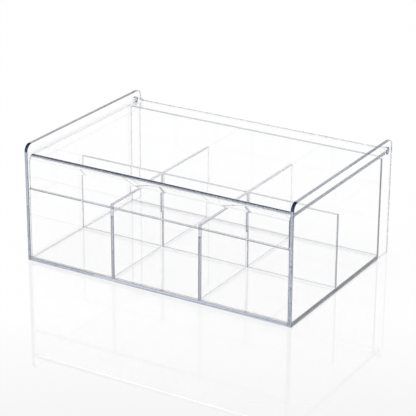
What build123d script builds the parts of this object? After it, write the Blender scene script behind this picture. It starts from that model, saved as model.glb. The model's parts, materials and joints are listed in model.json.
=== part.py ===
"""Clear tea bag box: six compartments under a hinged lid that is bent down into a front flap.

Frame: +X to the right, +Y to the back, +Z up, millimetres. The origin lies under the middle of the
whole box, on the surface that it stands on. Every piece is cut from clear sheet, except the two
hinge pins, which are short rods.
"""
from build123d import *
import os

# ---- Box: driving dimensions ----------------------------------------------------------------
box_width = 240.0             # over the outside faces of the two side panels
floor_depth = 150.0           # front face of the front panel to back face of the back panel
rear_overhang = 15.0          # the side panels run on this far behind the back panel
side_height = 98.5            # side panels, bottom to top
side_sheet = 3.0              # thickness of the side panels
floor_sheet = 3.0             # thickness of the floor panel
wall_sheet = 3.0              # thickness of the front and back panels
side_corner_radius = 6.0      # the rounded top corners of the side panels
front_panel_height = 59.0     # the front panel alone, standing on the floor panel

# ---- Dividers -------------------------------------------------------------------------------
divider_sheet = 3.0           # thickness of all dividers
divider_height = 61.5         # from the floor panel up
divider_end_clearance = 0.3   # between a divider's end and the wall it faces
half_lap_clearance = 0.1      # on each side of a sheet in its half-lap slot

# ---- Lid ------------------------------------------------------------------------------------
lid_sheet = 3.0               # thickness of the bent lid
lid_drop = 8.5                # the lid's top lies this far below the side panels' top edges
lid_side_clearance = 0.5      # between the lid's cut ends and each side panel
lid_inner_bend_radius = 3.0   # inside of the bend between the lid's top and its flap
lid_to_back_gap = 1.0         # the back panel stops this far below the lid
flap_gap = 0.3                # the flap stops this far above the front panel
flap_corner_radius = 1.5      # the flap's two lower corners
lid_tail = 6.5                # the lid runs on this far behind the hinge axis

# ---- Hinge ----------------------------------------------------------------------------------
hinge_setback = 6.4           # hinge axis behind the back panel's outer face
pin_axis_rise = 0.5           # hinge axis above the lid's top face
pin_diameter = 5.9
pin_running_clearance = 0.05  # radial, in the side panel's hole
pin_seat_length = 5.0         # the pin's flat inner end lies on this much of the lid's top face

# ---- Places that follow ---------------------------------------------------------------------
side_depth = floor_depth + rear_overhang
front_y = -side_depth / 2
rear_y = side_depth / 2
back_face_y = front_y + floor_depth
inner_half_width = box_width / 2 - side_sheet
inner_front_y = front_y + wall_sheet
inner_back_y = back_face_y - wall_sheet
front_panel_top = floor_sheet + front_panel_height

lid_top = side_height - lid_drop
lid_underside = lid_top - lid_sheet
lid_half_width = inner_half_width - lid_side_clearance
flap_bottom = front_panel_top + flap_gap

hinge_y = back_face_y + hinge_setback
hinge_z = lid_top + pin_axis_rise

divider_top = floor_sheet + divider_height
half_lap_z = floor_sheet + divider_height / 2
half_lap_width = divider_sheet + 2 * half_lap_clearance
mid_y = (inner_front_y + inner_back_y) / 2
compartment_width = (2 * inner_half_width - 2 * divider_sheet) / 3
cross_divider_x = (compartment_width + divider_sheet) / 2


def block(low, high):
    """A plain sheet of material between two opposite corners."""
    size = [top - bottom for bottom, top in zip(low, high)]
    middle = [(top + bottom) / 2 for bottom, top in zip(low, high)]
    return Pos(*middle) * Box(*size)


def hinge_rod(diameter, start_x, end_x):
    """A round rod on the hinge axis from one X to another."""
    middle = Pos((start_x + end_x) / 2, hinge_y, hinge_z)
    return middle * Rot(0, 90, 0) * Cylinder(diameter / 2, abs(end_x - start_x))


def edge_along_x(solid, y, z):
    """The edge of the solid along X that lies nearest to a place in Y and Z."""
    return solid.edges().filter_by(Axis.X).sort_by_distance((0, y, z))[0]


# ---- Box panels -----------------------------------------------------------------------------
def make_floor_panel():
    return block((-inner_half_width, front_y, 0), (inner_half_width, back_face_y, floor_sheet))


def make_front_panel():
    return block(
        (-inner_half_width, front_y, floor_sheet),
        (inner_half_width, inner_front_y, front_panel_top),
    )


def make_back_panel():
    return block(
        (-inner_half_width, inner_back_y, floor_sheet),
        (inner_half_width, back_face_y, lid_underside - lid_to_back_gap),
    )


def make_side_panel(side):
    """One side panel; side is -1 for the left and +1 for the right."""
    faces_x = sorted((side * inner_half_width, side * box_width / 2))
    blank = block((faces_x[0], front_y, 0), (faces_x[1], rear_y, side_height))
    top_corners = blank.edges().filter_by(Axis.X).group_by(Axis.Z)[-1]
    panel = fillet(top_corners, side_corner_radius)
    hole_diameter = pin_diameter + 2 * pin_running_clearance
    return panel - hinge_rod(hole_diameter, 0, side * box_width)


# ---- Dividers: an egg-crate of half-lapped sheets --------------------------------------------
def make_long_divider():
    """The divider from side to side, with a slot from above for each cross divider."""
    end_x = inner_half_width - divider_end_clearance
    sheet = block(
        (-end_x, mid_y - divider_sheet / 2, floor_sheet),
        (end_x, mid_y + divider_sheet / 2, divider_top),
    )
    for side in (-1, 1):
        slot_x = side * cross_divider_x
        sheet -= block(
            (slot_x - half_lap_width / 2, mid_y - divider_sheet, half_lap_z),
            (slot_x + half_lap_width / 2, mid_y + divider_sheet, divider_top + divider_sheet),
        )
    return sheet


def make_cross_divider(side):
    """A divider from front to back, with a slot from below for the long divider."""
    middle_x = side * cross_divider_x
    sheet = block(
        (middle_x - divider_sheet / 2, inner_front_y + divider_end_clearance, floor_sheet),
        (middle_x + divider_sheet / 2, inner_back_y - divider_end_clearance, divider_top),
    )
    return sheet - block(
        (middle_x - divider_sheet, mid_y - half_lap_width / 2, 0),
        (middle_x + divider_sheet, mid_y + half_lap_width / 2, half_lap_z),
    )


# ---- Lid and its pins -----------------------------------------------------------------------
def make_lid():
    """One sheet: a flat top, bent down at the front into a flap with two rounded lower corners."""
    top = block(
        (-lid_half_width, front_y, lid_underside),
        (lid_half_width, hinge_y + lid_tail, lid_top),
    )
    flap = block(
        (-lid_half_width, front_y, flap_bottom),
        (lid_half_width, front_y + lid_sheet, lid_top),
    )
    lid = top + flap
    lid = fillet(edge_along_x(lid, front_y + lid_sheet, lid_underside), lid_inner_bend_radius)
    lid = fillet(edge_along_x(lid, front_y, lid_top), lid_inner_bend_radius + lid_sheet)
    flap_corners = lid.edges().filter_by(Axis.Y).group_by(Axis.Z)[0]
    return fillet(flap_corners, flap_corner_radius)


def make_hinge_pin(side):
    """A rod through the side panel, flush outside, milled flat inside to lie on the lid's top."""
    seat_tip_x = side * (lid_half_width - pin_seat_length)
    seat_root_x = side * lid_half_width
    rod = hinge_rod(pin_diameter, seat_tip_x, side * box_width / 2)
    seat_x = sorted((seat_tip_x, seat_root_x))
    return rod - block(
        (seat_x[0], hinge_y - pin_diameter, lid_top - pin_diameter),
        (seat_x[1], hinge_y + pin_diameter, lid_top),
    )


# ---- All pieces, one file each ----------------------------------------------------------------
pieces = {
    "floor_panel": make_floor_panel(),
    "front_panel": make_front_panel(),
    "back_panel": make_back_panel(),
    "left_side_panel": make_side_panel(-1),
    "right_side_panel": make_side_panel(1),
    "long_divider": make_long_divider(),
    "left_cross_divider": make_cross_divider(-1),
    "right_cross_divider": make_cross_divider(1),
    "lid": make_lid(),
    "left_hinge_pin": make_hinge_pin(-1),
    "right_hinge_pin": make_hinge_pin(1),
}

os.makedirs("parts", exist_ok=True)
for name, piece in pieces.items():
    export_step(piece, f"parts/{name}.step")
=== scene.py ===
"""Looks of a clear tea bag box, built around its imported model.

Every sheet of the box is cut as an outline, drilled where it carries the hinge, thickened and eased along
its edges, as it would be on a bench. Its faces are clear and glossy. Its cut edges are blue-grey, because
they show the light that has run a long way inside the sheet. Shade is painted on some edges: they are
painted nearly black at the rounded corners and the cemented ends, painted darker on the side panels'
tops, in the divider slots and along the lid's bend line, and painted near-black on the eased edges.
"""
import json
import logging
import math
from dataclasses import dataclass, field
from enum import Enum, auto
from typing import Callable

import bpy
from mathutils import Matrix, Vector

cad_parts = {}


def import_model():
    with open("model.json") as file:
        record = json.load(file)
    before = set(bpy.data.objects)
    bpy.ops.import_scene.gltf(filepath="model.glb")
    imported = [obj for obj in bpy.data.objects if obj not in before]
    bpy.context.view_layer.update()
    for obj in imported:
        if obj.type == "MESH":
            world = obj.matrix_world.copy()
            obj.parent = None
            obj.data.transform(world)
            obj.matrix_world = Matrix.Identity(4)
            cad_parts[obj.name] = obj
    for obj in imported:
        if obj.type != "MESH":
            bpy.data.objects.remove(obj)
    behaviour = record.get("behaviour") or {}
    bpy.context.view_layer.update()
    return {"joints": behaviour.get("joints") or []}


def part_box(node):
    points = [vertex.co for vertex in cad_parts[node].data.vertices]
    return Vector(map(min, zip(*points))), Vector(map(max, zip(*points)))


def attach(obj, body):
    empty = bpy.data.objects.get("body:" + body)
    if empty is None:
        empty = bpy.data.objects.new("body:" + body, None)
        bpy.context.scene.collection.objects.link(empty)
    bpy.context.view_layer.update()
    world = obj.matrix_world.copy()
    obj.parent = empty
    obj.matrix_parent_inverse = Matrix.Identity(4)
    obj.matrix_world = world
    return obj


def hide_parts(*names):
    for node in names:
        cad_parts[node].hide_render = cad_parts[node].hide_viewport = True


LOG = logging.getLogger("tea_bag_box")
MM = 0.001
SAME_PLACE = 0.01 * MM          # two places that are nearer than this count as one
SAME_POINT = 0.001 * MM         # two points that are nearer than this are merged
SQUARE = 0.999                  # the share of a normal along an axis from which a face is square to it
ROUND_PROFILE = 0.5             # a bevel's profile that is part of a circle
LARGE_FACES_FLAT = 100          # a Weighted Normal's weight that keeps the larger faces flat
MIXED_COLOURS = (6, 7)          # a colour Mix node's two inputs
MIX_RESULT = 2                  # and its output
FIRST_BOUNCE = 0.5              # a ray with fewer bounces than this has had none

Colour = tuple[float, float, float, float]
Corners = tuple[Vector, Vector]
Test = Callable[[Vector, Vector], bool]


class Body(Enum):
    """The bodies that pieces ride on."""

    BOX = "box"
    LID = "lid"


class Slot(Enum):
    """The record's material slots."""

    CLEAR_SHEET = "clear_sheet"
    DIVIDER_SHEET = "divider_sheet"
    BENT_LID = "bent_lid"
    CLEAR_ROD = "clear_rod"


class Surface(Enum):
    """The kinds of surface that a piece can have, each with a finish of its own."""

    FACE = auto()
    CUT_EDGE = auto()
    EASED_EDGE = auto()
    PAINTED_SHADE_EDGE = auto()
    SHADED_TOP_EDGE = auto()
    ROUGH_EDGE = auto()
    SLOT_WALL = auto()
    PAINTED_BEND_SHADE = auto()


class Side(Enum):
    """The two mirrored ends of the box."""

    LEFT = auto()
    RIGHT = auto()


class Across(Enum):
    """The way that a flat sheet's thickness points, as the turn of a plane that faces up."""

    X = (0.0, math.pi / 2, 0.0)
    Y = (math.pi / 2, 0.0, 0.0)
    Z = (0.0, 0.0, 0.0)


class Element(Enum):
    """What edit mode selects, in the order of its three buttons."""

    VERTEX = auto()
    EDGE = auto()
    FACE = auto()


# ---- Bench: modelling by hand, one mesh at a time -------------------------------------------------
class Bench:
    """Work on single meshes: each method does one operation of a maker at a bench."""

    @staticmethod
    def put_down() -> None:
        """Leaves edit mode and deselects everything."""
        if bpy.context.mode != "OBJECT":
            bpy.ops.object.mode_set(mode="OBJECT")
        bpy.ops.object.select_all(action="DESELECT")

    @staticmethod
    def take(piece: bpy.types.Object) -> None:
        """Makes one object the only selected and the active one.

        Args:
            piece: The object.
        """
        Bench.put_down()
        piece.select_set(True)
        bpy.context.view_layer.objects.active = piece

    @staticmethod
    def settle(piece: bpy.types.Object) -> None:
        """Moves an object's place, turn and scale into its mesh."""
        Bench.take(piece)
        bpy.ops.object.transform_apply(location=True, rotation=True, scale=True)

    @staticmethod
    def name(piece: bpy.types.Object, name: str) -> bpy.types.Object:
        """Names an object and its mesh.

        Args:
            piece: The object.
            name: The name for both.

        Returns:
            The object.
        """
        piece.name = name
        piece.data.name = name
        return piece

    @staticmethod
    def rectangle(name: str, low: Vector, high: Vector, across: Across) -> bpy.types.Object:
        """Adds a flat rectangle half-way through a sheet's thickness.

        Args:
            name: The new object's name.
            low: The sheet's lowest corner.
            high: The sheet's highest corner.
            across: The way that its thickness points.

        Returns:
            The rectangle, one face, at the origin and unscaled.
        """
        Bench.put_down()
        bpy.ops.mesh.primitive_plane_add(size=1.0, rotation=across.value)
        plane = Bench.name(bpy.context.active_object, name)
        Bench.settle(plane)
        # a side without a length keeps a small scale, because a scale of 0 can't be applied
        plane.scale = [max(top - bottom, MM) for bottom, top in zip(low, high)]
        plane.location = (low + high) / 2
        Bench.settle(plane)
        return plane

    @staticmethod
    def block(name: str, low: Vector, high: Vector) -> bpy.types.Object:
        """Adds a block between two corners, for cutting with.

        Args:
            name: The new object's name.
            low: Its lowest corner.
            high: Its highest corner.

        Returns:
            The block, at the origin and unscaled.
        """
        Bench.put_down()
        bpy.ops.mesh.primitive_cube_add(size=1.0, location=(low + high) / 2)
        block = Bench.name(bpy.context.active_object, name)
        block.scale = high - low
        Bench.settle(block)
        return block

    @staticmethod
    def rod(name: str, start: Vector, end: Vector, radius: float, sides: int) -> bpy.types.Object:
        """Adds a round rod along X between two points.

        Args:
            name: The new object's name.
            start: One end of its middle line.
            end: The other end.
            radius: Its radius.
            sides: How many flats stand for its round.

        Returns:
            The rod, at the origin and unscaled.
        """
        Bench.put_down()
        bpy.ops.mesh.primitive_cylinder_add(
            vertices=sides, radius=radius, depth=abs(end.x - start.x),
            location=(start + end) / 2, rotation=Across.X.value)
        rod = Bench.name(bpy.context.active_object, name)
        Bench.settle(rod)
        return rod

    @staticmethod
    def pick(piece: bpy.types.Object, kind: Element, test: Test) -> None:
        """Opens a mesh in edit mode with only some of its elements selected.

        Args:
            piece: The object to work on.
            kind: Which of its elements to look at.
            test: Takes an element's centre and its normal, or an edge's direction, and says whether to
                select it.
        """
        Bench.take(piece)
        mesh = piece.data
        for group in (mesh.vertices, mesh.edges, mesh.polygons):
            group.foreach_set("select", [False] * len(group))
        if kind is Element.VERTEX:
            for vertex in mesh.vertices:
                vertex.select = test(vertex.co, vertex.normal)
        elif kind is Element.EDGE:
            for edge in mesh.edges:
                start, end = (mesh.vertices[i].co for i in edge.vertices)
                edge.select = test((start + end) / 2, (end - start).normalized())
        else:
            for face in mesh.polygons:
                face.select = test(face.center, face.normal)
        bpy.context.tool_settings.mesh_select_mode = [kind is element for element in Element]
        bpy.ops.object.mode_set(mode="EDIT")

    @staticmethod
    def pick_all(piece: bpy.types.Object) -> None:
        """Opens a mesh in edit mode with all of it selected."""
        Bench.pick(piece, Element.FACE, lambda centre, normal: True)

    @staticmethod
    def round_corners(piece: bpy.types.Object, radius: float, steps: int, test: Test) -> None:
        """Rounds corner points of a flat outline.

        Args:
            piece: The outline.
            radius: The corners' radius.
            steps: How many flats stand for the round of each.
            test: Says which points to round.
        """
        Bench.pick(piece, Element.VERTEX, test)
        bpy.ops.mesh.bevel(offset=radius, segments=steps, affect="VERTICES", profile=ROUND_PROFILE)
        Bench.put_down()

    @staticmethod
    def split(piece: bpy.types.Object, place: Vector, normal: Vector) -> None:
        """Cuts an outline across by a plane, and keeps both halves joined.

        Args:
            piece: The outline.
            place: A point in the plane.
            normal: The plane's normal.
        """
        Bench.pick_all(piece)
        bpy.ops.mesh.bisect(plane_co=place, plane_no=normal)
        Bench.put_down()

    @staticmethod
    def pull(piece: bpy.types.Object, shift: Vector, test: Test) -> None:
        """Extrudes edges of an outline.

        Args:
            piece: The outline.
            shift: How far, and which way.
            test: Says which edges to extrude.
        """
        Bench.pick(piece, Element.EDGE, test)
        bpy.ops.mesh.extrude_region_move(TRANSFORM_OT_translate={"value": shift})
        Bench.put_down()

    @staticmethod
    def drill(piece: bpy.types.Object, centre: Vector, radius: float, steps: int) -> None:
        """Drills a round hole through a flat outline that stands across X.

        A square is sawn out round the place, and a ring of faces leads from its rim to the hole's round
        rim, so that no face has a hole in it.

        Args:
            piece: The outline.
            centre: The hole's middle.
            radius: Its radius.
            steps: How many flats stand for a quarter of its round.
        """
        half = 2 * radius
        for way in (Vector((0, 1, 0)), Vector((0, 0, 1))):
            for shift in (-half, half):
                Bench.split(piece, centre + way * shift, way)

        def near(place: Vector, reach: float) -> bool:
            """True for a place within so much of the hole's middle, along Y and along Z."""
            return max(abs(place.y - centre.y), abs(place.z - centre.z)) < reach

        Bench.pick(piece, Element.FACE, lambda place, normal: near(place, SAME_PLACE))
        bpy.ops.mesh.delete(type="ONLY_FACE")
        Bench.pick(piece, Element.EDGE, lambda place, way: near(place, half + SAME_PLACE))
        bpy.ops.mesh.subdivide(number_cuts=steps - 1)
        bpy.ops.mesh.extrude_region_move(TRANSFORM_OT_translate={"value": (0, 0, 0)})
        bpy.ops.object.mode_set(mode="OBJECT")
        for vertex in piece.data.vertices:
            if vertex.select:
                arm = Vector((0, vertex.co.y - centre.y, vertex.co.z - centre.z)).normalized() * radius
                vertex.co.yz = (centre + arm).yz
        Bench.pick_all(piece)
        bpy.ops.mesh.normals_make_consistent(inside=False)
        Bench.put_down()

    @staticmethod
    def modify(piece: bpy.types.Object, kind: str, **settings) -> None:
        """Adds one modifier and applies it.

        Args:
            piece: The object to work on.
            kind: The modifier's type.
            settings: The modifier's own settings.
        """
        Bench.take(piece)
        modifier = piece.modifiers.new(kind.title(), kind)
        for name, value in settings.items():
            setattr(modifier, name, value)
        bpy.ops.object.modifier_apply(modifier=modifier.name)

    @staticmethod
    def thicken(piece: bpy.types.Object, thickness: float, rim: int, offset: float) -> None:
        """Gives an outline its thickness.

        Args:
            piece: The outline.
            thickness: The sheet's thickness.
            rim: The number of the material that the new rim takes.
            offset: 0 to grow both ways from the outline, -1 to grow away from its normals.
        """
        Bench.modify(piece, "SOLIDIFY", thickness=thickness, offset=offset, use_even_offset=True,
                     material_offset_rim=rim)

    @staticmethod
    def subtract(piece: bpy.types.Object, cutter: bpy.types.Object) -> None:
        """Takes a cutter's shape out of a piece and throws the cutter away."""
        Bench.modify(piece, "BOOLEAN", operation="DIFFERENCE", object=cutter, solver="EXACT")
        bpy.data.objects.remove(cutter)

    @staticmethod
    def ease_edges(piece: bpy.types.Object, width: float, sharpest: float, material: int) -> None:
        """Takes the sharpness off every edge with one narrow flat, and keeps the large faces flat.

        Args:
            piece: The solid piece.
            width: How wide the eased edge is.
            sharpest: Edges that turn by more than this many degrees are eased.
            material: The number of the material that the eased edges take.
        """
        Bench.pick_all(piece)
        bpy.ops.mesh.remove_doubles(threshold=SAME_POINT)
        bpy.ops.mesh.normals_make_consistent(inside=False)
        Bench.put_down()
        Bench.modify(piece, "BEVEL", width=width, segments=1, limit_method="ANGLE",
                     angle_limit=math.radians(sharpest), material=material)
        Bench.take(piece)
        bpy.ops.object.shade_smooth_by_angle(angle=math.radians(sharpest), keep_sharp_edges=False)
        Bench.modify(piece, "WEIGHTED_NORMAL", weight=LARGE_FACES_FLAT, keep_sharp=True)


# ---- Finishes --------------------------------------------------------------------------------------
class NodeBench:
    """Adds and joins the nodes of one node tree."""

    def __init__(self, tree: bpy.types.NodeTree) -> None:
        """Takes the tree to work on."""
        self.tree = tree

    def add(self, kind: str, values: dict | None = None, **settings) -> bpy.types.Node:
        """Adds a node.

        Args:
            kind: Its type, such as ShaderNodeMath.
            values: Input socket name or number to a value or to the output socket that feeds it.
            settings: The node's own settings.

        Returns:
            The new node.
        """
        node = self.tree.nodes.new(kind)
        for name, value in settings.items():
            setattr(node, name, value)
        for name, value in (values or {}).items():
            if isinstance(value, bpy.types.NodeSocket):
                self.tree.links.new(value, node.inputs[name])
            else:
                node.inputs[name].default_value = value
        return node

    def feed(self, source: bpy.types.NodeSocket, target: bpy.types.NodeSocket) -> None:
        """Joins an output socket to an input socket."""
        self.tree.links.new(source, target)

    def sum_of(self, operation: str, *values: float | bpy.types.NodeSocket) -> bpy.types.NodeSocket:
        """One step of arithmetic on numbers or sockets; gives its output socket."""
        node = self.add("ShaderNodeMath", dict(enumerate(values)), operation=operation)
        return node.outputs[0]

    def ramp(self, value: bpy.types.NodeSocket, *stops: tuple[float, Colour]) -> bpy.types.NodeSocket:
        """Adds a colour ramp.

        Args:
            value: The socket that runs along it.
            stops: Places along it, each with its colour.

        Returns:
            Its colour socket.
        """
        node = self.add("ShaderNodeValToRGB", {0: value})
        elements = node.color_ramp.elements
        while len(elements) < len(stops):
            elements.new(1.0)
        for element, (place, colour) in zip(elements, stops):
            element.position = place
            element.color = colour
        return node.outputs["Color"]

    def noise(self, vector: bpy.types.NodeSocket, scale: float, detail: float) -> bpy.types.NodeSocket:
        """Cloudy noise, so many clouds to the metre; gives its grey socket."""
        node = self.add("ShaderNodeTexNoise", {"Vector": vector, "Scale": scale, "Detail": detail})
        return node.outputs["Fac"]

    def smooth_step(self, value: bpy.types.NodeSocket, low: float, high: float) -> bpy.types.NodeSocket:
        """A mask that rises softly from 0 at low to 1 at high."""
        node = self.add("ShaderNodeMapRange", {"Value": value, "From Min": low, "From Max": high},
                        interpolation_type="SMOOTHSTEP")
        return node.outputs["Result"]

    def blend(self, factor: bpy.types.NodeSocket, first: Colour,
              second: Colour | bpy.types.NodeSocket) -> bpy.types.NodeSocket:
        """Adds a blend of two colours.

        Args:
            factor: 0 for the first colour, 1 for the second.
            first: The first colour.
            second: The second colour, or the socket that gives it.

        Returns:
            The blend's colour socket.
        """
        node = self.add("ShaderNodeMix", {"Factor": factor}, data_type="RGBA")
        first_socket, second_socket = (node.inputs[number] for number in MIXED_COLOURS)
        first_socket.default_value = first
        if isinstance(second, bpy.types.NodeSocket):
            self.feed(second, second_socket)
        else:
            second_socket.default_value = second
        return node.outputs[MIX_RESULT]


@dataclass(frozen=True)
class WearScales:
    """How fine each trace of handling is, in patterns to the metre, and where its masks start and end."""

    hairlines: float = 90.0
    hairline_bend: float = 26.0
    hairline_detail: float = 3.0
    hairline_mask: tuple[float, float] = (0.985, 1.0)
    patches: float = 22.0
    patch_detail: float = 2.0
    patch_mask: tuple[float, float] = (0.54, 0.70)
    smears: float = 9.0
    smear_detail: float = 4.0
    smear_mask: tuple[float, float] = (0.50, 0.78)


@dataclass(frozen=True)
class SawScales:
    """How fine the marks on a cut edge are, in patterns to the metre."""

    ridges: float = 900.0
    ridge_detail: float = 2.0
    ridge_mask: tuple[float, float] = (0.35, 0.65)
    drift: float = 18.0
    drift_detail: float = 1.5
    drift_mask: tuple[float, float] = (0.35, 0.65)


class SharedEffects:
    """Node groups that more than one finish uses. Each is built once."""

    def __init__(self) -> None:
        """Builds the groups."""
        self.handling = self._handling(WearScales())
        self.saw_marks = self._saw_marks(SawScales())

    @staticmethod
    def _group(name: str, inputs: tuple[str, ...], outputs: tuple[str, ...]
               ) -> tuple[bpy.types.NodeTree, NodeBench, bpy.types.Node, bpy.types.Node]:
        """Makes an empty group with a Vector input, number inputs and number outputs.

        Args:
            name: The group's name.
            inputs: The names of its number inputs.
            outputs: The names of its number outputs.

        Returns:
            The group, a bench for its nodes, its input node and its output node.
        """
        group = bpy.data.node_groups.new(name, "ShaderNodeTree")
        group.interface.new_socket("Vector", in_out="INPUT", socket_type="NodeSocketVector")
        for label in inputs:
            group.interface.new_socket(label, in_out="INPUT", socket_type="NodeSocketFloat")
        for label in outputs:
            group.interface.new_socket(label, in_out="OUTPUT", socket_type="NodeSocketFloat")
        bench = NodeBench(group)
        return group, bench, bench.add("NodeGroupInput"), bench.add("NodeGroupOutput")

    def _handling(self, scales: WearScales) -> bpy.types.NodeTree:
        """Builds hairline scuffs in a few patches, and wiped smears, as the roughness of a face.

        Args:
            scales: How fine the traces are.

        Returns:
            The group.
        """
        group, bench, given, out = self._group("handling", ("Scuffs", "Smears"), ("Roughness",))
        place = given.outputs["Vector"]
        hairs = bench.add("ShaderNodeTexWave", {
            "Vector": place, "Scale": scales.hairlines, "Distortion": scales.hairline_bend,
            "Detail": scales.hairline_detail}, bands_direction="DIAGONAL")
        fine = bench.smooth_step(hairs.outputs["Fac"], *scales.hairline_mask)
        patches = bench.noise(place, scales.patches, scales.patch_detail)
        scuffed = bench.sum_of("MULTIPLY", fine, bench.smooth_step(patches, *scales.patch_mask))
        scuffs = bench.sum_of("MULTIPLY", scuffed, given.outputs["Scuffs"])
        cloud = bench.noise(place, scales.smears, scales.smear_detail)
        wiped = bench.smooth_step(cloud, *scales.smear_mask)
        smears = bench.sum_of("MULTIPLY", wiped, given.outputs["Smears"])
        bench.feed(bench.sum_of("ADD", scuffs, smears), out.inputs["Roughness"])
        return group

    def _saw_marks(self, scales: SawScales) -> bpy.types.NodeTree:
        """Builds the fine ridges that a saw leaves on a cut edge, and its slow drift in tone, as masks.

        Args:
            scales: How fine the marks are.

        Returns:
            The group.
        """
        group, bench, given, out = self._group("saw_marks", (), ("Drift", "Ridges"))
        place = given.outputs["Vector"]
        ridges = bench.noise(place, scales.ridges, scales.ridge_detail)
        drift = bench.noise(place, scales.drift, scales.drift_detail)
        bench.feed(bench.smooth_step(drift, *scales.drift_mask), out.inputs["Drift"])
        bench.feed(bench.smooth_step(ridges, *scales.ridge_mask), out.inputs["Ridges"])
        return group


def new_material(name: str) -> tuple[bpy.types.Material, NodeBench, bpy.types.Node, bpy.types.Node]:
    """Makes a material that holds one Principled shader.

    Args:
        name: The material's name.

    Returns:
        The material, a bench for its nodes, its Principled shader and its output node.
    """
    material = bpy.data.materials.new(name)
    material.use_nodes = True
    material.node_tree.nodes.clear()
    bench = NodeBench(material.node_tree)
    shader = bench.add("ShaderNodeBsdfPrincipled")
    out = bench.add("ShaderNodeOutputMaterial", {"Surface": shader.outputs["BSDF"]})
    return material, bench, shader, out


@dataclass(frozen=True)
class ClearPlastic:
    """What the sheets are made of, all the way through."""

    refraction: float = 1.49
    body_tint: Colour = (0.35, 0.48, 0.68, 1.0)
    body_density: float = 1.3

    def fill(self, bench: NodeBench, shader: bpy.types.Node, out: bpy.types.Node) -> None:
        """Makes a surface clear and gives the solid behind it the plastic's own faint tint.

        Args:
            bench: The material's nodes.
            shader: Its Principled shader.
            out: Its output node.
        """
        shader.inputs["IOR"].default_value = self.refraction
        shader.inputs["Transmission Weight"].default_value = 1.0
        tint = bench.add("ShaderNodeVolumeAbsorption",
                         {"Color": self.body_tint, "Density": self.body_density})
        bench.feed(tint.outputs["Volume"], out.inputs["Volume"])


@dataclass(frozen=True)
class FaintPlastic(ClearPlastic):
    """What the rods are made of: it bends light so little that they stay faint."""

    refraction: float = 1.12


@dataclass(frozen=True)
class GlossyFace:
    """The as-cast face of a clear sheet: nearly flawless, with hairline scuffs and wiped smears."""

    name: str = "glossy_face"
    plastic: ClearPlastic = ClearPlastic()
    clear: Colour = (1.0, 1.0, 1.0, 1.0)
    scuffs: float = 0.02
    smears: float = 0.004

    def material(self, effects: SharedEffects) -> bpy.types.Material:
        """Builds the finish.

        Args:
            effects: The shared node groups.

        Returns:
            The material.
        """
        material, bench, shader, out = new_material(self.name)
        self.plastic.fill(bench, shader, out)
        place = bench.add("ShaderNodeTexCoord")
        handling = bench.add("ShaderNodeGroup", node_tree=effects.handling)
        handling.inputs["Scuffs"].default_value = self.scuffs
        handling.inputs["Smears"].default_value = self.smears
        bench.feed(place.outputs["Object"], handling.inputs["Vector"])
        shader.inputs["Base Color"].default_value = self.clear
        bench.feed(handling.outputs["Roughness"], shader.inputs["Roughness"])
        return material


@dataclass(frozen=True)
class RodFace(GlossyFace):
    """The round of a hinge rod."""

    name: str = "rod_face"
    plastic: ClearPlastic = FaintPlastic()


@dataclass(frozen=True)
class SawnEdge:
    """A cut edge: fine ridges, and a tone that drifts between two greys along its length.

    As it stands it is the blue-grey edge of the box itself. The other edges are made from it.
    """

    name: str = "box_cut_edge"
    plastic: ClearPlastic = ClearPlastic()
    cool: Colour = (0.68, 0.71, 0.78, 1.0)
    warm: Colour = (0.72, 0.73, 0.79, 1.0)
    shine: Colour = (0.60, 0.60, 0.64, 1.0)
    ridge_tone: float = 0.06
    ridge_roughness: float = 0.03

    def material(self, effects: SharedEffects) -> bpy.types.Material:
        """Builds the finish.

        Args:
            effects: The shared node groups.

        Returns:
            The material.
        """
        material, bench, shader, out = new_material(self.name)
        self.plastic.fill(bench, shader, out)
        place = bench.add("ShaderNodeTexCoord")
        marks = bench.add("ShaderNodeGroup", node_tree=effects.saw_marks)
        bench.feed(place.outputs["Object"], marks.inputs["Vector"])
        tone = bench.blend(marks.outputs["Drift"], self.cool, self.warm)
        shade = bench.sum_of("MULTIPLY_ADD", marks.outputs["Ridges"], -self.ridge_tone, 1.0)
        ridged = bench.add("ShaderNodeVectorMath", {0: tone, 1: shade}, operation="MULTIPLY")
        bench.feed(ridged.outputs[0], shader.inputs["Base Color"])
        shader.inputs["Specular Tint"].default_value = self.shine
        rough = bench.sum_of("MULTIPLY", marks.outputs["Ridges"], self.ridge_roughness)
        bench.feed(rough, shader.inputs["Roughness"])
        return material


@dataclass(frozen=True)
class DividerEdge(SawnEdge):
    """A divider's lavender-grey cut edge."""

    name: str = "divider_cut_edge"
    cool: Colour = (0.76, 0.76, 0.82, 1.0)
    warm: Colour = (0.80, 0.79, 0.84, 1.0)
    shine: Colour = (0.85, 0.85, 0.88, 1.0)


@dataclass(frozen=True)
class PaintedShadeCutEdge(SawnEdge):
    """A cut edge painted darker, as painted shade, on top of a side panel and inside a divider's slot."""

    name: str = "painted_shade_cut_edge"
    # darker greys: painted shade
    cool: Colour = (0.45, 0.45, 0.50, 1.0)
    warm: Colour = (0.50, 0.50, 0.54, 1.0)
    shine: Colour = (0.90, 0.90, 0.92, 1.0)


@dataclass(frozen=True)
class LidEdge(SawnEdge):
    """The lid's darker cut edge."""

    name: str = "lid_cut_edge"
    cool: Colour = (0.32, 0.315, 0.35, 1.0)
    warm: Colour = (0.36, 0.355, 0.39, 1.0)
    shine: Colour = (0.35, 0.34, 0.39, 1.0)


@dataclass(frozen=True)
class ShadedEasedEdge(SawnEdge):
    """The narrow flat that takes the sharpness off an edge, painted near-black: painted shade, the thin
    dark line along each edge.
    """

    name: str = "eased_edge"
    # near-black: painted shade
    cool: Colour = (0.06, 0.06, 0.07, 1.0)
    warm: Colour = (0.08, 0.08, 0.09, 1.0)
    shine: Colour = (0.20, 0.20, 0.23, 1.0)
    ridge_roughness: float = 0.3


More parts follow.
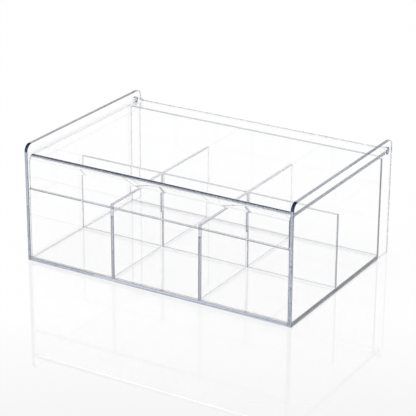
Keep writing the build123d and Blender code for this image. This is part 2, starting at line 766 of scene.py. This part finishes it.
@dataclass(frozen=True)
class PaintedShadeEdge(SawnEdge):
    """An edge painted nearly black, as painted shade: a rounded corner or a cemented end."""

    name: str = "painted_shade_edge"
    # nearly black navy and a dim shine: painted shade
    cool: Colour = (0.008, 0.012, 0.05, 1.0)
    warm: Colour = (0.012, 0.016, 0.06, 1.0)
    shine: Colour = (0.10, 0.10, 0.20, 1.0)
    ridge_roughness: float = 0.4


@dataclass(frozen=True)
class RoughEdge(SawnEdge):
    """An edge that was left as the saw made it."""

    name: str = "rough_cut_edge"
    ridge_roughness: float = 0.6


@dataclass(frozen=True)
class PaintedBendShade(SawnEdge):
    """Painted shade: the dark line painted where the lid's flat top goes over into its bend."""

    name: str = "painted_bend_shade"
    # dark slate greys: painted shade
    cool: Colour = (0.12, 0.13, 0.17, 1.0)
    warm: Colour = (0.15, 0.16, 0.20, 1.0)
    shine: Colour = (0.50, 0.50, 0.55, 1.0)


@dataclass(frozen=True)
class RodEnd(SawnEdge):
    """The pale cut end of a hinge rod."""

    name: str = "rod_end"
    plastic: ClearPlastic = FaintPlastic()
    cool: Colour = (0.93, 0.94, 0.96, 1.0)
    warm: Colour = (0.96, 0.96, 0.97, 1.0)


@dataclass(frozen=True)
class Finish:
    """The materials of one kind of piece, by the surface that they cover, and the record's slot."""

    materials: dict[Surface, bpy.types.Material]
    slot: Slot

    def number(self, surface: Surface) -> int:
        """The number that a surface's material has in a piece's list."""
        return list(self.materials).index(surface)


class Palette:
    """The box's materials, each built once, and the finish that each kind of piece has."""

    def __init__(self, effects: SharedEffects) -> None:
        """Builds the materials and shares them out.

        Args:
            effects: The shared node groups.
        """
        face = GlossyFace().material(effects)
        box_edge = SawnEdge().material(effects)
        divider_edge = DividerEdge().material(effects)
        shaded_cut_edge = PaintedShadeCutEdge().material(effects)
        lid_edge = LidEdge().material(effects)
        eased_edge = ShadedEasedEdge().material(effects)
        painted_shade_edge = PaintedShadeEdge().material(effects)
        rough_edge = RoughEdge().material(effects)
        painted_bend_shade = PaintedBendShade().material(effects)
        rod_face = RodFace().material(effects)
        rod_end = RodEnd().material(effects)
        self.carcass = Finish({
            Surface.FACE: face,
            Surface.CUT_EDGE: box_edge,
            Surface.EASED_EDGE: eased_edge,
            Surface.PAINTED_SHADE_EDGE: painted_shade_edge,
            Surface.SHADED_TOP_EDGE: shaded_cut_edge,
            Surface.ROUGH_EDGE: rough_edge,
        }, Slot.CLEAR_SHEET)
        self.dividers = Finish({
            Surface.FACE: face,
            Surface.CUT_EDGE: divider_edge,
            Surface.EASED_EDGE: eased_edge,
            Surface.SLOT_WALL: shaded_cut_edge,
            Surface.ROUGH_EDGE: rough_edge,
        }, Slot.DIVIDER_SHEET)
        self.lid = Finish({
            Surface.FACE: face,
            Surface.CUT_EDGE: lid_edge,
            Surface.EASED_EDGE: eased_edge,
            Surface.PAINTED_BEND_SHADE: painted_bend_shade,
            Surface.ROUGH_EDGE: rough_edge,
        }, Slot.BENT_LID)
        self.pins = Finish({
            Surface.FACE: rod_face,
            Surface.CUT_EDGE: rod_end,
            Surface.EASED_EDGE: rod_face,
        }, Slot.CLEAR_ROD)


# ---- Pieces ----------------------------------------------------------------------------------------
@dataclass
class SheetWork:
    """What all pieces of the box share."""

    finish: Finish
    body: Body
    joint_line: float = 0.05 * MM
    eased_edge: float = 0.2 * MM
    sharpest: float = 35.0

    def space(self, node: str) -> Corners:
        """Where a CAD node lies, less the cement line round it.

        Args:
            node: The node's name.

        Returns:
            Its lowest and highest corner.
        """
        low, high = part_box(node)
        line = Vector((self.joint_line,) * 3)
        return low + line, high - line

    def outline(self, node: str, across: Across) -> bpy.types.Object:
        """Starts a flat sheet as a rectangle.

        Args:
            node: The CAD node that it stands for.
            across: The way that its thickness points.

        Returns:
            The rectangle, with its materials.
        """
        low, high = self.space(node)
        sheet = Bench.rectangle(f"clear_{node}", low, high, across)
        self.dress(sheet)
        return sheet

    def thickness(self, node: str) -> float:
        """A flat sheet's thickness: its smallest side, less the cement lines."""
        low, high = self.space(node)
        return min(high - low)

    def dress(self, piece: bpy.types.Object) -> None:
        """Gives a piece its materials; all of it takes the first, the face's."""
        for material in self.finish.materials.values():
            piece.data.materials.append(material)

    def thicken(self, piece: bpy.types.Object, thickness: float, offset: float = 0.0) -> None:
        """Gives an outline its thickness, and the new rim the cut edge's finish."""
        Bench.thicken(piece, thickness, self.finish.number(Surface.CUT_EDGE), offset)

    def mark(self, piece: bpy.types.Object, surface: Surface, test: Test) -> None:
        """Gives faces of a piece the finish of one kind of surface.

        Args:
            piece: The piece.
            surface: The kind of surface.
            test: Says which faces to change.
        """
        number = self.finish.number(surface)
        for face in piece.data.polygons:
            if test(face.center, face.normal):
                face.material_index = number

    def hand_over(self, piece: bpy.types.Object, node: str) -> None:
        """Eases a piece's edges, lets it ride on its body and stand for its CAD node.

        Args:
            piece: The piece.
            node: The CAD node.
        """
        Bench.ease_edges(piece, self.eased_edge, self.sharpest, self.finish.number(Surface.EASED_EDGE))
        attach(piece, self.body.value)
        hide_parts(node)
        LOG.info("%s: %d faces, on %s", piece.name, len(piece.data.polygons), self.body.value)


@dataclass
class Carcass(SheetWork):
    """The five cemented sheets of the box: floor, front, back and two side panels."""

    side_corner_radius: float = 6 * MM
    corner_steps: int = 16
    hinge_hole_radius: float = 3 * MM
    hole_steps: int = 16

    def build(self, hinge: Vector) -> None:
        """Makes all five sheets.

        Args:
            hinge: A point on the hinge axis.
        """
        self.plain("floor_panel", Across.Z, paint_shade_on_ends=True)
        self.plain("front_panel", Across.Y)
        self.plain("back_panel", Across.Y, paint_shade_on_ends=True)
        for side in Side:
            self.side_panel(side, hinge)

    def plain(self, node: str, across: Across, paint_shade_on_ends: bool = False) -> None:
        """A rectangular sheet.

        Args:
            node: The CAD node that it stands for.
            across: The way that its thickness points.
            paint_shade_on_ends: True if its ends along X, which are cemented, are painted nearly black as
                painted shade.
        """
        sheet = self.outline(node, across)
        self.thicken(sheet, self.thickness(node))
        if paint_shade_on_ends:
            # the cemented ends are painted nearly black: painted shade for the dark lines that these
            # joints show
            self.mark(sheet, Surface.PAINTED_SHADE_EDGE, lambda centre, normal: abs(normal.x) > SQUARE)
        self.hand_over(sheet, node)

    def side_panel(self, side: Side, hinge: Vector) -> None:
        """A side panel with two rounded top corners and a drilled hinge hole.

        Args:
            side: The end of the box where it stands.
            hinge: A point on the hinge axis.
        """
        node = f"{side.name.lower()}_side_panel"
        low, high = self.space(node)
        middle = (low + high) / 2
        sheet = self.outline(node, Across.X)
        Bench.round_corners(sheet, self.side_corner_radius, self.corner_steps,
                            lambda centre, normal: centre.z > middle.z)
        Bench.drill(sheet, Vector((middle.x, hinge.y, hinge.z)), self.hinge_hole_radius, self.hole_steps)
        self.thicken(sheet, self.thickness(node))
        corners_from = high.z - self.side_corner_radius

        def in_corner(centre: Vector, normal: Vector) -> bool:
            """True for a face of a rounded corner, which is neither level nor upright."""
            beside_hole = abs(centre.y - hinge.y) < 2 * self.hinge_hole_radius
            flat = max(abs(part) for part in normal) > SQUARE
            return centre.z > corners_from and not flat and not beside_hole

        def on_top(centre: Vector, normal: Vector) -> bool:
            """True for the level top of the rim."""
            return centre.z > corners_from and normal.z > SQUARE

        def at_rear(centre: Vector, normal: Vector) -> bool:
            """True for the upright rear of the rim."""
            return normal.y > SQUARE and abs(centre.y - high.y) < SAME_PLACE

        def in_hole(centre: Vector, normal: Vector) -> bool:
            """True for the hinge hole's wall, which is polished like the sheet's faces."""
            arm = math.hypot(centre.y - hinge.y, centre.z - hinge.z)
            return arm < self.hinge_hole_radius + SAME_PLACE

        # the rounded corners are painted nearly black: painted shade for the dark arcs that they show
        self.mark(sheet, Surface.PAINTED_SHADE_EDGE, in_corner)
        # the rim's top is painted darker: painted shade, the contact shade at the foot that it shows
        # through the sheet
        self.mark(sheet, Surface.SHADED_TOP_EDGE, on_top)
        self.mark(sheet, Surface.ROUGH_EDGE, at_rear)
        self.mark(sheet, Surface.FACE, in_hole)
        self.hand_over(sheet, node)


@dataclass
class DividerGrid(SheetWork):
    """Three dividers, half-lapped into each other like an egg-crate."""

    lap_clearance: float = 0.1 * MM

    def build(self) -> None:
        """Makes the long divider and the two cross dividers."""
        cross = [f"{side.name.lower()}_cross_divider" for side in Side]
        self.slotted("long_divider", Across.Y, cross, upward=True, rough_ends=True)
        for node in cross:
            self.slotted(node, Across.X, ["long_divider"], upward=False)

    def slotted(self, node: str, across: Across, crossing: list[str], upward: bool,
                rough_ends: bool = False) -> None:
        """A divider with a slot half its height for each one that it crosses.

        Args:
            node: The CAD node that it stands for.
            across: The way that its thickness points.
            crossing: The nodes that pass through its slots.
            upward: True if the slots open upwards.
            rough_ends: True if its ends were left as the saw made them.
        """
        low, high = self.space(node)
        along = 0 if across is Across.Y else 1
        way = Vector((1 - along, along, 0))
        middle_z = (low.z + high.z) / 2
        solid_low, solid_high = low.copy(), high.copy()
        if upward:
            solid_high.z = middle_z
        else:
            solid_low.z = middle_z
        sheet = Bench.rectangle(f"clear_{node}", solid_low, solid_high, across)
        self.dress(sheet)
        slots = []
        for other in crossing:
            other_low, other_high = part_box(other)
            slot = (other_low[along] - self.lap_clearance, other_high[along] + self.lap_clearance)
            slots.append(slot)
            for place in slot:
                Bench.split(sheet, way * place, way)

        def beside_slots(centre: Vector, direction: Vector) -> bool:
            """True for a stretch of the open side that isn't in a slot."""
            in_slot = any(start < centre[along] < end for start, end in slots)
            level = abs(direction.z) < abs(direction[along])
            return level and not in_slot and abs(centre.z - middle_z) < SAME_PLACE

        Bench.pull(sheet, Vector((0, 0, (high.z if upward else low.z) - middle_z)), beside_slots)
        self.thicken(sheet, self.thickness(node))
        # the slot walls are painted darker: painted shade between the crossing dividers
        self.mark(sheet, Surface.SLOT_WALL, lambda centre, normal: abs(normal[along]) > SQUARE and any(
            abs(centre[along] - place) < SAME_PLACE for slot in slots for place in slot))
        if rough_ends:
            self.mark(sheet, Surface.ROUGH_EDGE, lambda centre, normal:
                      abs(normal[along]) > SQUARE and abs(centre[along]) > high[along] - SAME_PLACE)
        self.hand_over(sheet, node)


@dataclass
class BentLid(SheetWork):
    """The lid: one sheet, bent down at the front into a flap."""

    sheet: float = 3 * MM
    inner_bend_radius: float = 3 * MM
    bend_steps: int = 24
    painted_bend_shade_slope: float = 0.95
    flap_corner_radius: float = 1.5 * MM
    corner_steps: int = 6

    def build(self) -> None:
        """Makes the lid from its outer skin: the flat top, the bend and the flap."""
        node = "lid"
        low, high = self.space(node)
        lid = Bench.rectangle(f"clear_{node}", Vector((low.x, low.y, high.z)), high, Across.Z)
        self.dress(lid)
        Bench.pull(lid, Vector((0, 0, low.z - high.z)),
                   lambda centre, direction: abs(centre.y - low.y) < SAME_PLACE)
        Bench.round_corners(lid, self.flap_corner_radius, self.corner_steps,
                            lambda centre, normal: abs(centre.z - low.z) < SAME_PLACE)
        Bench.pick(lid, Element.EDGE, lambda centre, direction:
                   abs(centre.y - low.y) < SAME_PLACE and abs(centre.z - high.z) < SAME_PLACE)
        bpy.ops.mesh.bevel(offset=self.inner_bend_radius + self.sheet, segments=self.bend_steps,
                           affect="EDGES", profile=ROUND_PROFILE)
        Bench.pick_all(lid)
        bpy.ops.mesh.normals_make_consistent(inside=False)
        Bench.put_down()
        top = max(lid.data.polygons, key=lambda face: face.area)
        self.thicken(lid, self.sheet - 2 * self.joint_line, offset=-math.copysign(1, top.normal.z))
        # the first faces of the bend are painted dark: painted shade for the line that the bend shows
        self.mark(lid, Surface.PAINTED_BEND_SHADE, lambda centre, normal:
                  normal.y < 0 and self.painted_bend_shade_slope < normal.z < SQUARE)
        self.mark(lid, Surface.ROUGH_EDGE, lambda centre, normal:
                  normal.y > SQUARE and abs(centre.y - high.y) < SAME_PLACE)
        self.hand_over(lid, node)


@dataclass
class HingePins(SheetWork):
    """Two clear rods, flush with the side panels outside, milled flat inside to lie on the lid."""

    sides: int = 64

    def build(self) -> None:
        """Makes both pins."""
        for side in Side:
            self.pin(side)

    def pin(self, side: Side) -> None:
        """One pin: a rod whose inner end is cut away below the lid's top face.

        Args:
            side: The end of the box where it turns.
        """
        node = f"{side.name.lower()}_hinge_pin"
        low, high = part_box(node)
        lid_low, lid_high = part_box("lid")
        middle = (low + high) / 2
        start, end = Vector((low.x, middle.y, middle.z)), Vector((high.x, middle.y, middle.z))
        rod = Bench.rod(f"clear_{node}", start, end, (high.y - low.y) / 2, self.sides)
        self.dress(rod)
        self.mark(rod, Surface.CUT_EDGE, lambda centre, normal: abs(normal.x) > SQUARE)
        reach = high - low
        cut_low, cut_high = low - reach, high + reach
        cut_high.z = lid_high.z + self.joint_line
        if side is Side.RIGHT:
            cut_high.x = lid_high.x + self.joint_line
        else:
            cut_low.x = lid_low.x - self.joint_line
        Bench.subtract(rod, Bench.block("mill", cut_low, cut_high))
        self.hand_over(rod, node)


# ---- Studio ----------------------------------------------------------------------------------------
@dataclass
class Studio:
    """A white table under a white sky that is dark high up, one soft lamp and the camera."""

    table_size: float = 8.0
    table_colour: Colour = (0.92, 0.92, 0.93, 1.0)
    table_roughness: float = 0.6
    table_refraction: float = 1.8
    table_gloss: float = 0.02
    shadow_share: float = 0.06
    white: Colour = (1.0, 1.0, 1.0, 1.0)
    upper_sky: Colour = (0.010, 0.016, 0.035, 1.0)
    sky_stops: tuple[float, float] = (0.43, 0.52)
    plain_level: Colour = (0.85, 0.85, 0.85, 1.0)
    key_power: float = 10.0
    key_size: float = 1.2
    key_place: Vector = field(default_factory=lambda: Vector((-0.5, -0.4, 1.5)))
    azimuth: float = 30.666
    elevation: float = 22.048
    roll: float = 0.307
    distance: float = 1.4191
    aim: Vector = field(default_factory=lambda: Vector((0, 0, 0.045)))
    image_side: float = 416.0
    sensor: float = 36.0
    focal_length: float = 1775.2
    optical_centre: tuple[float, float] = (209.22, 204.24)
    farthest_seen: float = 50.0
    longest_path: int = 256

    def build(self) -> None:
        """Sets up the whole studio."""
        self.table()
        self.sky()
        self.lamp()
        self.camera()
        self.colours()

    @staticmethod
    def seen(bench: NodeBench) -> bpy.types.NodeSocket:
        """Tells the rays that show something, straight, mirrored or through the plastic, from the others.

        Args:
            bench: The nodes to add to.

        Returns:
            The socket that gives 1 for such a ray and 0 for another.
        """
        path = bench.add("ShaderNodeLightPath")
        shown = bench.sum_of("ADD", path.outputs["Is Camera Ray"], path.outputs["Is Glossy Ray"])
        total = bench.sum_of("ADD", shown, path.outputs["Is Transmission Ray"])
        once = bench.sum_of("MINIMUM", total, 1.0)
        direct = bench.sum_of("LESS_THAN", path.outputs["Diffuse Depth"], FIRST_BOUNCE)
        return bench.sum_of("MULTIPLY", once, direct)

    def table(self) -> None:
        """A glossy white table top that keeps the box's soft shadow and faint mirror image."""
        Bench.put_down()
        bpy.ops.mesh.primitive_plane_add(size=self.table_size)
        top = Bench.name(bpy.context.active_object, "white_table")
        material, bench, shader, out = new_material("white_table")
        shader.inputs["Base Color"].default_value = self.table_colour
        shader.inputs["Roughness"].default_value = self.table_roughness
        glow = bench.add("ShaderNodeEmission", {"Color": self.white, "Strength": 1.0})
        share = bench.sum_of("MULTIPLY", self.seen(bench), 1.0 - self.shadow_share)
        lit = bench.add("ShaderNodeMixShader",
                        {0: share, 1: shader.outputs["BSDF"], 2: glow.outputs["Emission"]})
        mirror = bench.add("ShaderNodeBsdfGlossy", {"Color": self.white, "Roughness": self.table_gloss})
        shine = bench.add("ShaderNodeFresnel", {"IOR": self.table_refraction})
        both = bench.add("ShaderNodeMixShader",
                         {0: shine.outputs["Fac"], 1: lit.outputs["Shader"], 2: mirror.outputs["BSDF"]})
        bench.feed(both.outputs["Shader"], out.inputs["Surface"])
        top.data.materials.append(material)

    def sky(self) -> None:
        """White all round; its dark top draws the lines in the bend and the rounded corners."""
        world = bpy.data.worlds.new("studio")
        bpy.context.scene.world = world
        world.use_nodes = True
        world.node_tree.nodes.clear()
        bench = NodeBench(world.node_tree)
        way = bench.add("ShaderNodeTexCoord")
        height = bench.add("ShaderNodeSeparateXYZ", {0: way.outputs["Generated"]})
        white_to, dark_from = self.sky_stops
        shown = bench.ramp(height.outputs["Z"], (white_to, self.white), (dark_from, self.upper_sky))
        tone = bench.blend(self.seen(bench), self.plain_level, shown)
        light = bench.add("ShaderNodeBackground", {"Color": tone, "Strength": 1.0})
        bench.add("ShaderNodeOutputWorld", {"Surface": light.outputs["Background"]})

    def lamp(self) -> None:
        """One large soft key lamp, high on the left, that no mirrored ray shows."""
        data = bpy.data.lights.new("key", "AREA")
        data.shape = "SQUARE"
        data.size = self.key_size
        data.energy = self.key_power
        lamp = bpy.data.objects.new("key", data)
        lamp.location = self.key_place
        lamp.rotation_euler = (self.aim - self.key_place).to_track_quat("-Z", "Y").to_euler()
        lamp.visible_glossy = False
        bpy.context.scene.collection.objects.link(lamp)

    def camera(self) -> None:
        """The camera at the photograph's place, a long lens from above the right front corner."""
        around, up = math.radians(self.azimuth), math.radians(self.elevation)
        back = Vector((math.sin(around) * math.cos(up), -math.cos(around) * math.cos(up), math.sin(up)))
        data = bpy.data.cameras.new("camera")
        data.sensor_width = self.sensor
        data.lens = self.sensor * self.focal_length / self.image_side
        centre = self.image_side / 2
        data.shift_x = (centre - self.optical_centre[0]) / self.image_side
        data.shift_y = (self.optical_centre[1] - centre) / self.image_side
        data.dof.use_dof = False
        data.clip_end = self.farthest_seen
        camera = bpy.data.objects.new("camera", data)
        camera.location = self.aim + back * self.distance
        turn = (-back).to_track_quat("-Z", "Y").to_matrix()
        tilt = Matrix.Rotation(math.radians(self.roll), 3, "Z")
        camera.rotation_euler = (turn @ tilt).to_euler()
        bpy.context.scene.collection.objects.link(camera)
        bpy.context.scene.camera = camera

    def colours(self) -> None:
        """Plain colours, and paths long enough to run through every sheet."""
        scene = bpy.context.scene
        scene.view_settings.view_transform = "Standard"
        cycles = scene.cycles
        cycles.max_bounces = self.longest_path
        cycles.glossy_bounces = self.longest_path
        cycles.transmission_bounces = self.longest_path
        cycles.transparent_max_bounces = self.longest_path


def main() -> None:
    logging.basicConfig(level=logging.INFO, format="%(name)s: %(message)s")
    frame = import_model()
    hinge = Vector(frame["joints"][0]["pos_m"])
    palette = Palette(SharedEffects())
    Carcass(palette.carcass, Body.BOX).build(hinge)
    DividerGrid(palette.dividers, Body.BOX).build()
    BentLid(palette.lid, Body.LID).build()
    HingePins(palette.pins, Body.LID).build()
    Studio().build()
    Bench.put_down()


if __name__ == "__main__":
    main()
